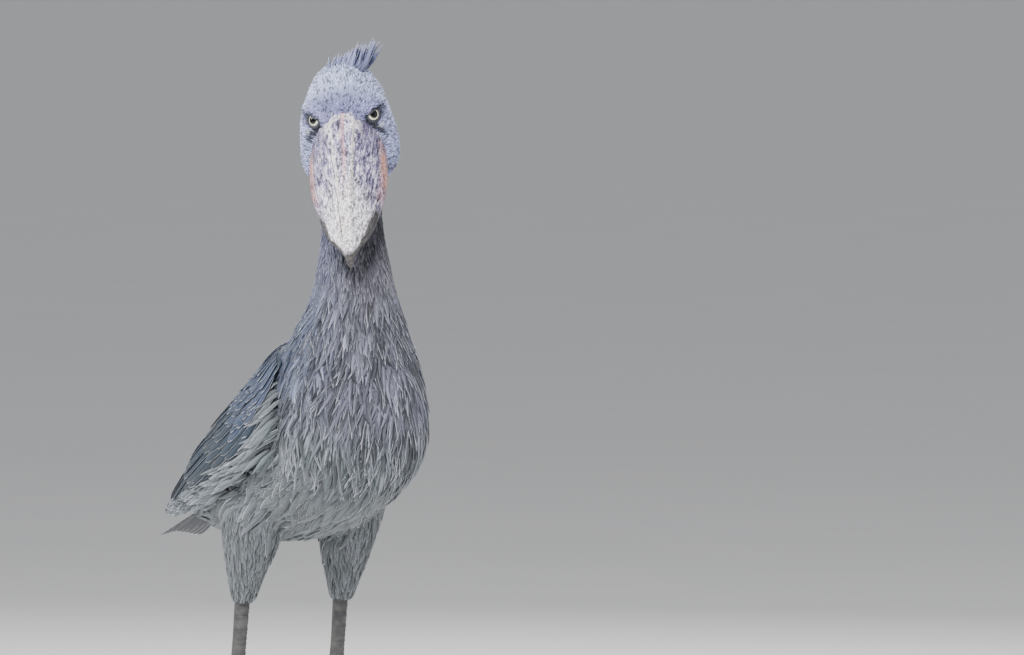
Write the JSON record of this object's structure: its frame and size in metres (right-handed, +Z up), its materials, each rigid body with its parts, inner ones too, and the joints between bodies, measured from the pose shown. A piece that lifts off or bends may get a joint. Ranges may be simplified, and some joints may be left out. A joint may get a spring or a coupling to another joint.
{
  "type": "shoebill",
  "caption": "Life-size standing shoebill with bill lowered and head turned, wings folded, long legs and wide-spread toes.",
  "frame": {"origin": "on the floor, below the middle of the bird's bounding box", "axes": "+Z up, the body faces -Y, the bird's left side is +X"},
  "size_m": [0.3432, 0.5498, 1.1225],
  "materials": {
    "head_plumage": "short soft plumage",
    "neck_plumage": "fine hair-like plumage",
    "body_plumage": "loose lanceolate plumage",
    "wing_feathers": "stiff vaned feathers",
    "tail_feathers": "stiff vaned feathers",
    "leg_plumage": "short soft plumage",
    "bill_horn": "mottled dry horn, satin",
    "eye": "wet, polished",
    "leg_scales": "dry scaled skin",
    "claw_horn": "dark horn, satin"
  },
  "bodies": {
    "root": {"bill_lower": "bill_horn", "bill_upper": "bill_horn", "claw_left_hind": "claw_horn", "claw_left_inner": "claw_horn", "claw_left_middle": "claw_horn", "claw_left_outer": "claw_horn", "claw_right_hind": "claw_horn", "claw_right_inner": "claw_horn", "claw_right_middle": "claw_horn", "claw_right_outer": "claw_horn", "eye_left": "eye", "eye_right": "eye", "head": "head_plumage", "neck": "neck_plumage", "shank_left": "leg_scales", "shank_right": "leg_scales", "tail": "tail_feathers", "thigh_left": "leg_plumage", "thigh_right": "leg_plumage", "toe_left_hind": "leg_scales", "toe_left_inner": "leg_scales", "toe_left_middle": "leg_scales", "toe_left_outer": "leg_scales", "toe_right_hind": "leg_scales", "toe_right_inner": "leg_scales", "toe_right_middle": "leg_scales", "toe_right_outer": "leg_scales", "torso": "body_plumage", "wing_left": "wing_feathers", "wing_right": "wing_feathers"}
  },
  "joints": []
}
